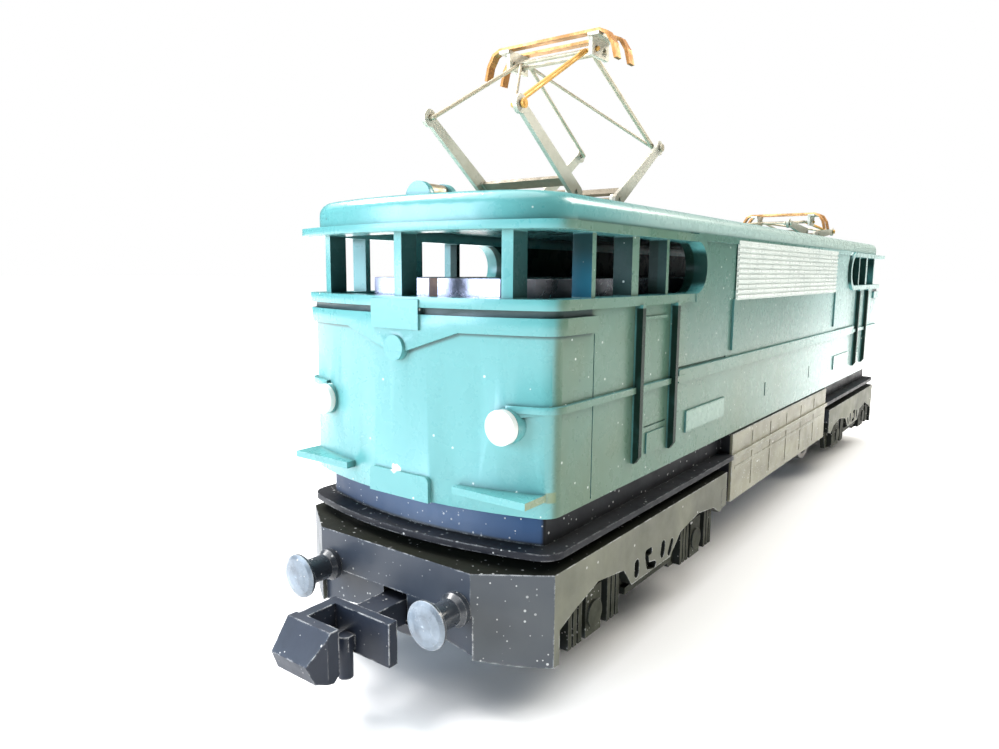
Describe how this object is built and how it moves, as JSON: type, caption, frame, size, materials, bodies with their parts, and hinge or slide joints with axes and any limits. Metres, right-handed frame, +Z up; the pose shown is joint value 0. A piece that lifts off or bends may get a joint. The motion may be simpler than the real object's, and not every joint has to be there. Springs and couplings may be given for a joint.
{
  "type": "model electric locomotive",
  "caption": "Small-gauge model electric locomotive: moulded shell with bowed cabs, two swivelling bogies, geared motor drive, hook couplers and raisable diamond pantographs.",
  "frame": {"origin": "middle of the bounding box at the level of the wheel flanges' lowest points", "axes": "+Y along the locomotive towards the end with the folded pantograph, +X to its side, +Z up"},
  "size_m": [0.0214, 0.1094, 0.0424],
  "materials": {
    "shell_plastic": "semi-gloss moulded",
    "lamp_white": "gloss",
    "tube_metal": "satin",
    "chassis_metal": "blackened die casting, semi-gloss",
    "insulation": "satin",
    "black_plastic": "satin moulded, dusty",
    "bogie_plastic": "satin moulded, dusty",
    "screw_steel": "satin",
    "magnet": "matt",
    "core_steel": "satin",
    "copper_wire": "enamelled",
    "brass": "satin",
    "carbon": "matt",
    "spring_steel": "satin",
    "gear_plastic": "satin",
    "wheel_metal": "bright turned tread",
    "nickel_silver": "satin stamped",
    "wire_brass": "bright wire",
    "contact_copper": "tarnished copper"
  },
  "bodies": {
    "chassis": {"body_shell": "shell_plastic", "headlight_lenses_front": "lamp_white", "headlight_lenses_rear": "lamp_white", "roof_horn_tubes": "tube_metal", "underframe": "black_plastic", "chassis_right": "chassis_metal", "chassis_left": "chassis_metal", "insulating_strip": "insulation", "chassis_screws": "screw_steel", "motor_magnets": "magnet", "motor_bearings": "brass", "brushes": "carbon", "brush_springs": "spring_steel", "front_pantograph_base": "nickel_silver", "rear_pantograph_base": "nickel_silver"},
    "rotor": {"motor_shaft": "screw_steel", "armature_core": "core_steel", "armature_windings": "copper_wire", "commutator": "brass", "worm": "brass"},
    "front_bogie": {"bogie_frame_front": "bogie_plastic", "keeper_plate_front": "bogie_plastic", "wheel_wipers_front": "spring_steel", "buffers_front": "black_plastic", "coupler_spring_front": "spring_steel"},
    "rear_bogie": {"bogie_frame_rear": "bogie_plastic", "keeper_plate_rear": "bogie_plastic", "wheel_wipers_rear": "spring_steel", "buffers_rear": "black_plastic", "coupler_spring_rear": "spring_steel"},
    "front_coupler": {"coupler_front": "black_plastic"},
    "rear_coupler": {"coupler_rear": "black_plastic"},
    "worm_wheel": {"worm_wheel": "gear_plastic"},
    "middle_gear": {"middle_gear": "gear_plastic"},
    "idler_outer": {"idler_gear_outer": "gear_plastic"},
    "idler_inner": {"idler_gear_inner": "gear_plastic"},
    "front_outer_wheelset": {"wheels_front_outer": "wheel_metal", "axle_gear_front_outer": "gear_plastic"},
    "front_inner_wheelset": {"wheels_front_inner": "wheel_metal", "axle_gear_front_inner": "gear_plastic"},
    "rear_outer_wheelset": {"wheels_rear_outer": "wheel_metal", "axle_sleeve_rear_outer": "gear_plastic"},
    "rear_inner_wheelset": {"wheels_rear_inner": "wheel_metal", "axle_sleeve_rear_inner": "gear_plastic"},
    "front_lower_arm_outer": {"front_lower_arm_outer": "nickel_silver"},
    "front_upper_arm_outer": {"front_upper_arm_outer": "wire_brass"},
    "front_lower_arm_inner": {"front_lower_arm_inner": "nickel_silver"},
    "front_upper_arm_inner": {"front_upper_arm_inner": "wire_brass"},
    "front_collector_head": {"front_head_brackets": "nickel_silver", "front_contact_strips": "contact_copper"},
    "rear_lower_arm_inner": {"rear_lower_arm_inner": "nickel_silver"},
    "rear_upper_arm_inner": {"rear_upper_arm_inner": "wire_brass"},
    "rear_lower_arm_outer": {"rear_lower_arm_outer": "nickel_silver"},
    "rear_upper_arm_outer": {"rear_upper_arm_outer": "wire_brass"},
    "rear_collector_head": {"rear_head_brackets": "nickel_silver", "rear_contact_strips": "contact_copper"}
  },
  "joints": [
    {"name": "motor_spin", "type": "hinge", "parent": "chassis", "child": "rotor", "pos_m": [0, 0, 0.014], "axis": [0, 1, 0], "continuous": true},
    {"name": "front_bogie_swivel", "type": "hinge", "parent": "chassis", "child": "front_bogie", "pos_m": [0, -0.0322, 0.0094], "axis": [0, 0, 1], "range_deg": [-8, 8]},
    {"name": "rear_bogie_swivel", "type": "hinge", "parent": "chassis", "child": "rear_bogie", "pos_m": [0, 0.0322, 0.0094], "axis": [0, 0, 1], "range_deg": [-8, 8]},
    {"name": "front_coupler_lift", "type": "hinge", "parent": "front_bogie", "child": "front_coupler", "pos_m": [0, -0.04585, 0.00495], "axis": [-1, 0, 0], "range_deg": [0, 9], "stiffness_Nm_per_rad": 0.0003, "springref_deg": -20.05},
    {"name": "rear_coupler_lift", "type": "hinge", "parent": "rear_bogie", "child": "rear_coupler", "pos_m": [0, 0.04585, 0.00495], "axis": [1, 0, 0], "range_deg": [0, 9], "stiffness_Nm_per_rad": 0.0003, "springref_deg": -20.05},
    {"name": "worm_wheel_spin", "type": "hinge", "parent": "front_bogie", "child": "worm_wheel", "pos_m": [0, -0.0322, 0.0099], "axis": [1, 0, 0], "continuous": true},
    {"name": "middle_gear_spin", "type": "hinge", "parent": "front_bogie", "child": "middle_gear", "pos_m": [0, -0.0322, 0.0048], "axis": [1, 0, 0], "continuous": true},
    {"name": "idler_outer_spin", "type": "hinge", "parent": "front_bogie", "child": "idler_outer", "pos_m": [0, -0.03625, 0.0048], "axis": [1, 0, 0], "continuous": true},
    {"name": "idler_inner_spin", "type": "hinge", "parent": "front_bogie", "child": "idler_inner", "pos_m": [0, -0.02815, 0.0048], "axis": [1, 0, 0], "continuous": true},
    {"name": "front_outer_axle_spin", "type": "hinge", "parent": "front_bogie", "child": "front_outer_wheelset", "pos_m": [0, -0.0403, 0.0048], "axis": [1, 0, 0], "continuous": true},
    {"name": "front_inner_axle_spin", "type": "hinge", "parent": "front_bogie", "child": "front_inner_wheelset", "pos_m": [0, -0.0241, 0.0048], "axis": [1, 0, 0], "continuous": true},
    {"name": "rear_inner_axle_spin", "type": "hinge", "parent": "rear_bogie", "child": "rear_inner_wheelset", "pos_m": [0, 0.0241, 0.0048], "axis": [1, 0, 0], "continuous": true},
    {"name": "rear_outer_axle_spin", "type": "hinge", "parent": "rear_bogie", "child": "rear_outer_wheelset", "pos_m": [0, 0.0403, 0.0048], "axis": [1, 0, 0], "continuous": true},
    {"name": "front_lower_arm_outer_hinge", "type": "hinge", "parent": "chassis", "child": "front_lower_arm_outer", "pos_m": [0, -0.0332, 0.0312], "axis": [-1, 0, 0], "range_deg": [-29.5, 10]},
    {"name": "front_upper_arm_outer_hinge", "type": "hinge", "parent": "front_lower_arm_outer", "child": "front_upper_arm_outer", "pos_m": [0, -0.03996, 0.03584], "axis": [1, 0, 0], "range_deg": [-54.92, 18.62]},
    {"name": "front_lower_arm_inner_hinge", "type": "hinge", "parent": "chassis", "child": "front_lower_arm_inner", "pos_m": [0, -0.0268, 0.0312], "axis": [1, 0, 0], "range_deg": [-29.5, 10]},
    {"name": "front_upper_arm_inner_hinge", "type": "hinge", "parent": "front_lower_arm_inner", "child": "front_upper_arm_inner", "pos_m": [0, -0.02004, 0.03584], "axis": [-1, 0, 0], "range_deg": [-54.92, 18.62]},
    {"name": "front_collector_head_hinge", "type": "hinge", "parent": "front_upper_arm_outer", "child": "front_collector_head", "pos_m": [0, -0.0306, 0.04124], "axis": [-1, 0, 0], "range_deg": [-25.42, 8.62]},
    {"name": "rear_lower_arm_inner_hinge", "type": "hinge", "parent": "chassis", "child": "rear_lower_arm_inner", "pos_m": [0, 0.0268, 0.0312], "axis": [-1, 0, 0], "range_deg": [0, 39.5]},
    {"name": "rear_upper_arm_inner_hinge", "type": "hinge", "parent": "rear_lower_arm_inner", "child": "rear_upper_arm_inner", "pos_m": [0, 0.01863, 0.03191], "axis": [1, 0, 0], "range_deg": [0, 73.72]},
    {"name": "rear_lower_arm_outer_hinge", "type": "hinge", "parent": "chassis", "child": "rear_lower_arm_outer", "pos_m": [0, 0.0332, 0.0312], "axis": [1, 0, 0], "range_deg": [0, 39.5]},
    {"name": "rear_upper_arm_outer_hinge", "type": "hinge", "parent": "rear_lower_arm_outer", "child": "rear_upper_arm_outer", "pos_m": [0, 0.04137, 0.03191], "axis": [-1, 0, 0], "range_deg": [0, 73.72]},
    {"name": "rear_collector_head_hinge", "type": "hinge", "parent": "rear_upper_arm_inner", "child": "rear_collector_head", "pos_m": [0, 0.0294, 0.03274], "axis": [-1, 0, 0], "range_deg": [0, 34.22]}
  ],
  "couplings": [
    {"joint": "worm_wheel_spin", "follows": "motor_spin", "ratio": 0.055556},
    {"joint": "middle_gear_spin", "follows": "motor_spin", "ratio": -0.0625},
    {"joint": "idler_outer_spin", "follows": "motor_spin", "ratio": 0.090909},
    {"joint": "idler_inner_spin", "follows": "motor_spin", "ratio": 0.090909},
    {"joint": "front_outer_axle_spin", "follows": "motor_spin", "ratio": -0.0625},
    {"joint": "front_inner_axle_spin", "follows": "motor_spin", "ratio": -0.0625},
    {"joint": "front_lower_arm_inner_hinge", "follows": "front_lower_arm_outer_hinge", "ratio": 1},
    {"joint": "front_upper_arm_outer_hinge", "follows": "front_lower_arm_outer_hinge", "ratio": 1.8615},
    {"joint": "front_upper_arm_inner_hinge", "follows": "front_lower_arm_outer_hinge", "ratio": 1.8615},
    {"joint": "front_collector_head_hinge", "follows": "front_lower_arm_outer_hinge", "ratio": 0.86145},
    {"joint": "rear_lower_arm_outer_hinge", "follows": "rear_lower_arm_inner_hinge", "ratio": 1},
    {"joint": "rear_upper_arm_inner_hinge", "follows": "rear_lower_arm_inner_hinge", "ratio": 1.8661},
    {"joint": "rear_upper_arm_outer_hinge", "follows": "rear_lower_arm_inner_hinge", "ratio": 1.8661},
    {"joint": "rear_collector_head_hinge", "follows": "rear_lower_arm_inner_hinge", "ratio": 0.86615}
  ]
}
